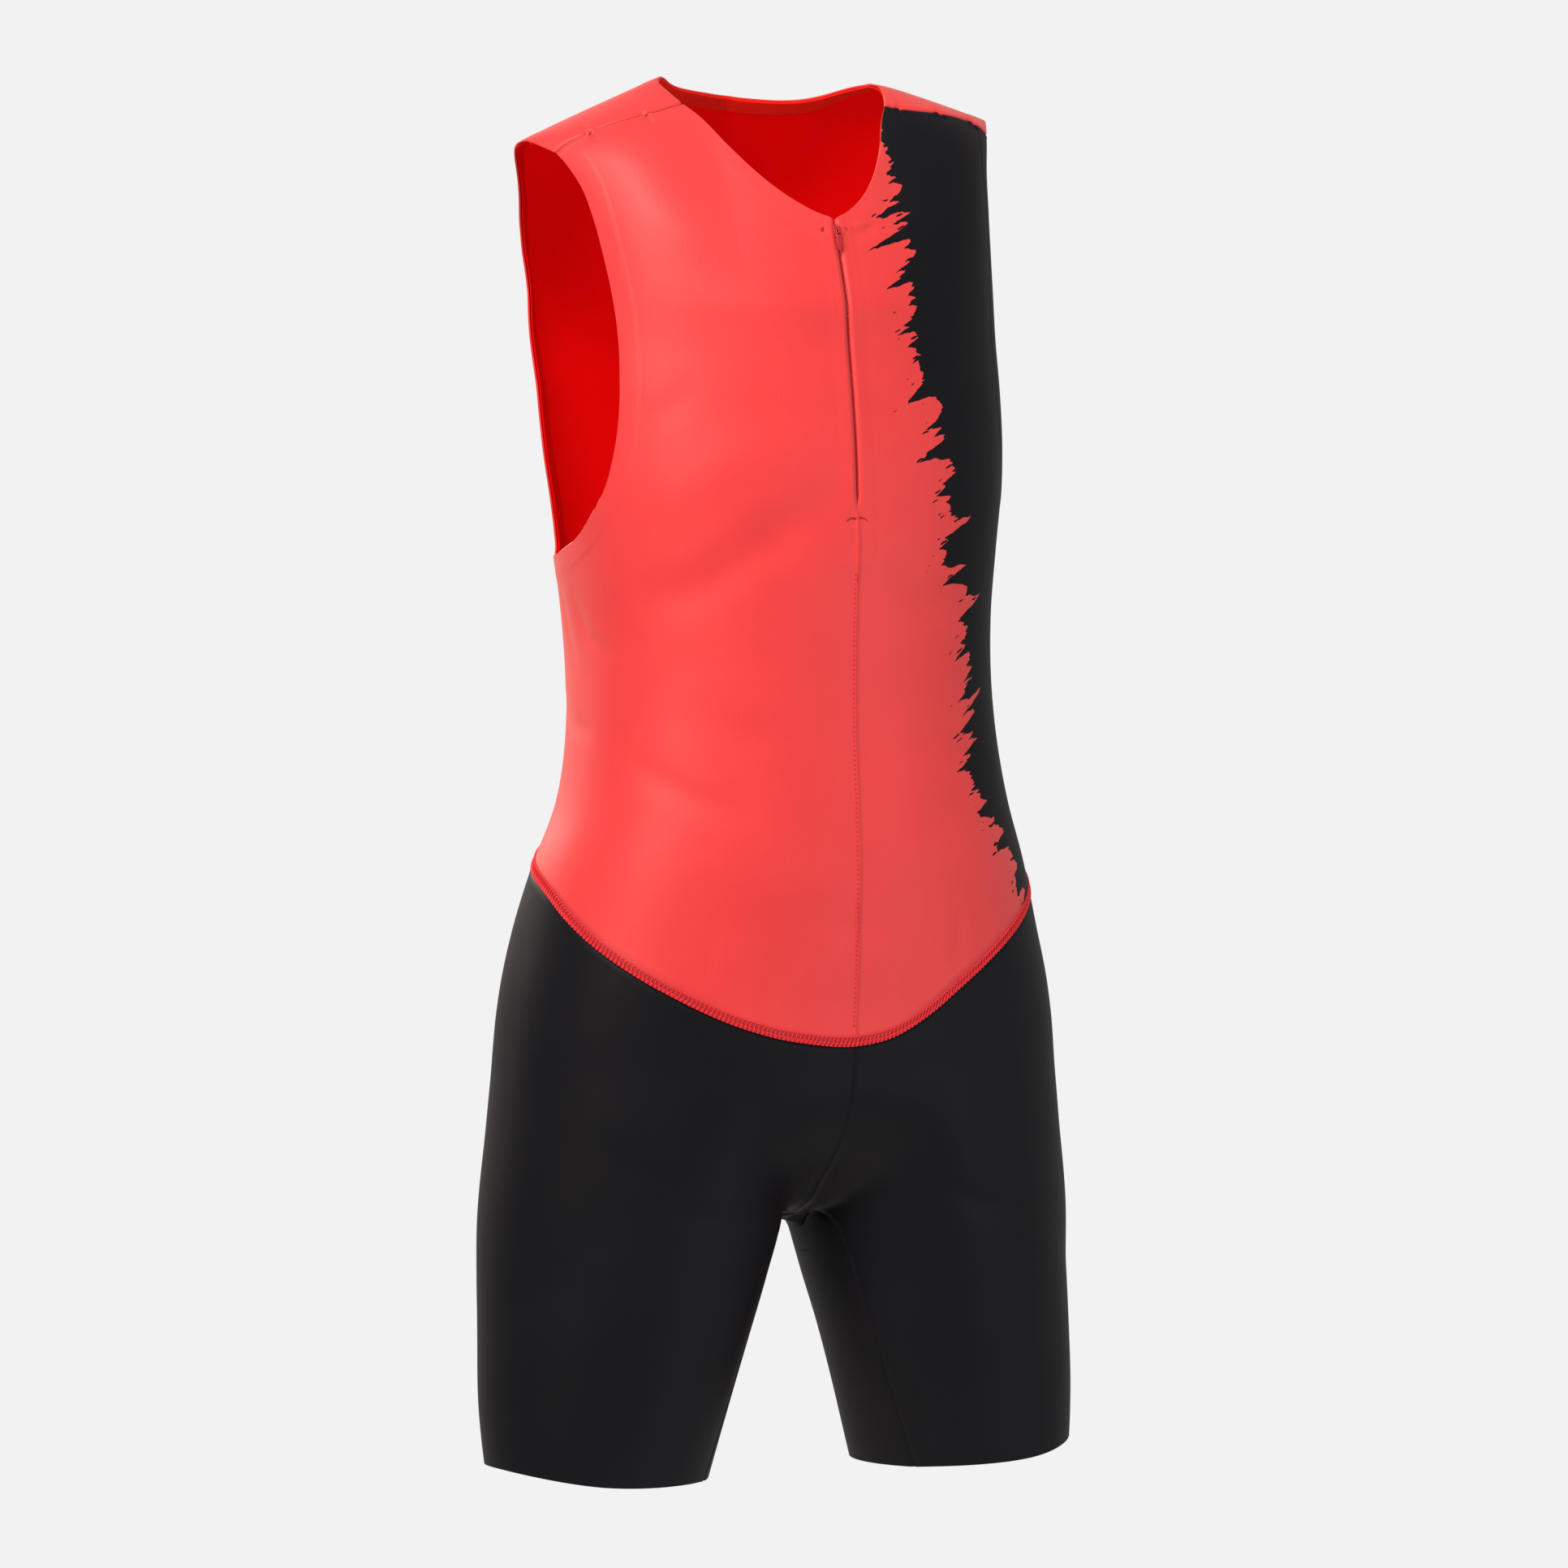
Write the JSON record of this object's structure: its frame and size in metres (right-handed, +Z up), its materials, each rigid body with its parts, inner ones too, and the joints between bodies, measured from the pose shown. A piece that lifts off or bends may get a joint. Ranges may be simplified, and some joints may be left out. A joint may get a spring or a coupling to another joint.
{
  "type": "sports jumpsuit",
  "caption": "Worn, hollow sleeveless sports jumpsuit with short legs, V neck, front zip and a contrasting shorts part.",
  "frame": {"origin": "between the neck points, level with the top of the shoulders where they meet the neck, where the wearer's shoulders carry the garment", "axes": "+Z up along the wearer, -Y to the garment's front, +X to the wearer's left"},
  "size_m": [0.4098, 0.2504, 0.89],
  "materials": {
    "coral_knit": "fine matt stretch knit",
    "black_knit": "fine matt stretch knit",
    "facing_knit": "fine matt stretch knit",
    "zip_tape": "woven tape",
    "lacquered_zinc": "satin lacquer"
  },
  "bodies": {
    "garment": {"front_right": "coral_knit", "front_left": "coral_knit", "back": "coral_knit", "leg_right": "black_knit", "leg_left": "black_knit", "inner_leg_panel": "black_knit", "neck_facing": "facing_knit", "arm_facing_right": "facing_knit", "arm_facing_left": "facing_knit", "zip_tape": "zip_tape", "zip_slider": "lacquered_zinc"},
    "pull": {"zip_pull": "lacquered_zinc"}
  },
  "joints": [
    {"name": "pull_swing", "type": "hinge", "parent": "garment", "child": "pull", "pos_m": [0, -0.09121, -0.09568], "axis": [-1, 0, 0], "range_deg": [0, 165]}
  ]
}
